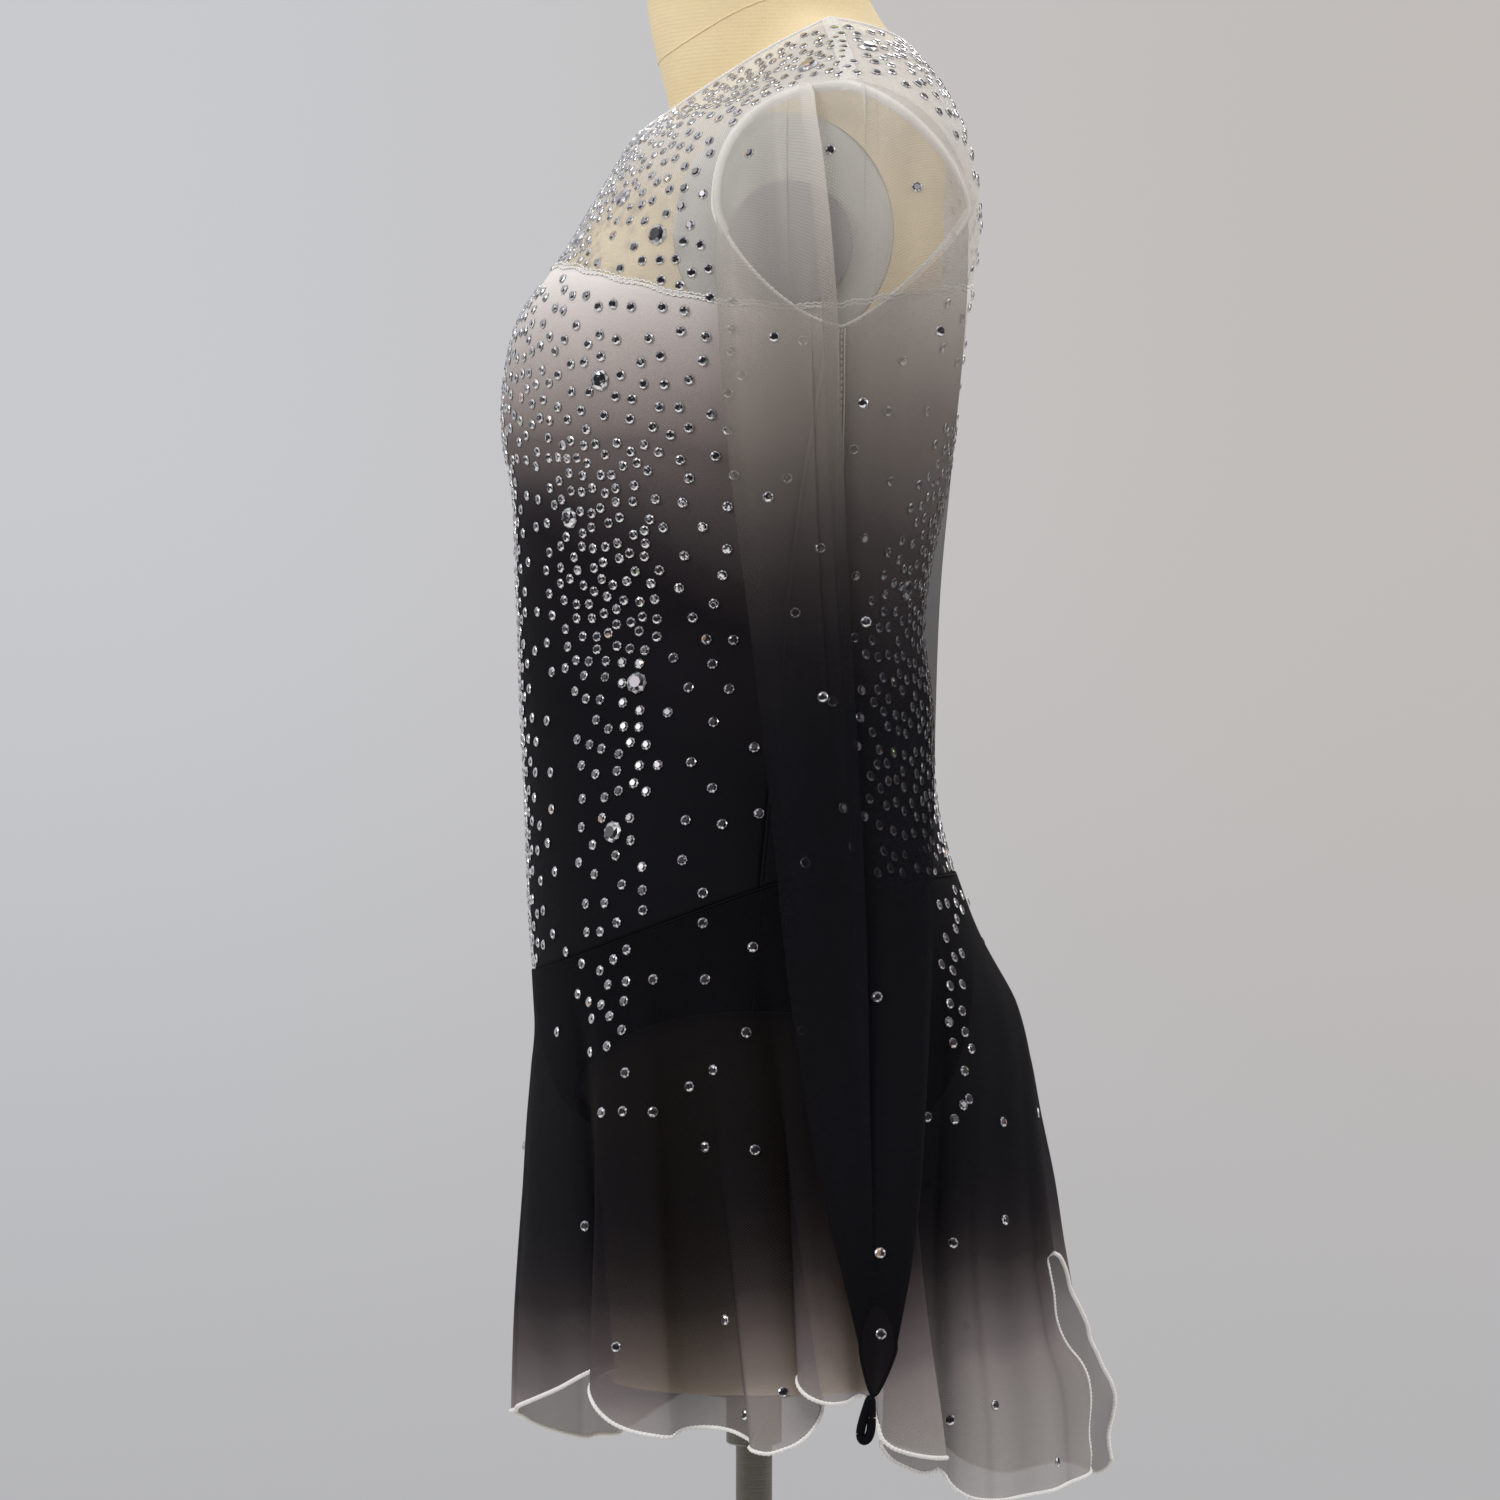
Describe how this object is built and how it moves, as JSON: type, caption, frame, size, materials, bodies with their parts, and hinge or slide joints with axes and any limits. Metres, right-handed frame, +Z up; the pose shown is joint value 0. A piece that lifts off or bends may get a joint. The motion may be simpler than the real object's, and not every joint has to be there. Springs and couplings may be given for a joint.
{
  "type": "figure skating dress on a limbless dress form",
  "caption": "Long-sleeved skating dress dyed from white to black, with a sheer flared skirt, worn on a limbless dress form that stands on a pole and a round base.",
  "frame": {"origin": "middle of the bounding box at the floor", "axes": "+Z up, -Y towards the front of the dress, +X towards the wearer's left"},
  "size_m": [0.5202, 0.4, 1.462],
  "materials": {
    "sheer_white_mesh": "sheer matt stretch mesh",
    "dyed_sleeve_mesh": "sheer matt stretch mesh, dyed from white at the shoulder to black",
    "dyed_stretch_cloth": "smooth stretch cloth, dyed from near white at the top to black",
    "black_stretch_cloth": "smooth black stretch cloth",
    "dyed_skirt_mesh": "sheer matt stretch mesh, black at the hip and white at the hem",
    "white_binding": "white stretch binding",
    "cream_form_cloth": "cream knitted cover",
    "grey_end_plate": "matt grey",
    "dark_end_disc": "matt dark grey",
    "brushed_steel": "satin steel"
  },
  "bodies": {
    "root": {"yoke_front": "sheer_white_mesh", "yoke_back": "sheer_white_mesh", "bodice_front": "dyed_stretch_cloth", "bodice_back": "dyed_stretch_cloth", "briefs_front": "black_stretch_cloth", "briefs_back": "black_stretch_cloth", "skirt_front": "dyed_skirt_mesh", "skirt_back_left": "dyed_skirt_mesh", "skirt_back_right": "dyed_skirt_mesh", "sleeve_left_upper": "dyed_sleeve_mesh", "sleeve_left_lower": "dyed_sleeve_mesh", "sleeve_right_upper": "dyed_sleeve_mesh", "sleeve_right_lower": "dyed_sleeve_mesh", "armhole_binding_left": "white_binding", "armhole_binding_right": "white_binding", "finger_loop_left": "black_stretch_cloth", "finger_loop_right": "black_stretch_cloth", "form_body": "cream_form_cloth", "form_plate_left": "grey_end_plate", "form_plate_right": "grey_end_plate", "form_disc_left": "dark_end_disc", "form_disc_right": "dark_end_disc", "stand_pole": "brushed_steel", "stand_collar": "brushed_steel", "stand_foot": "brushed_steel", "stand_base": "brushed_steel"}
  },
  "joints": []
}
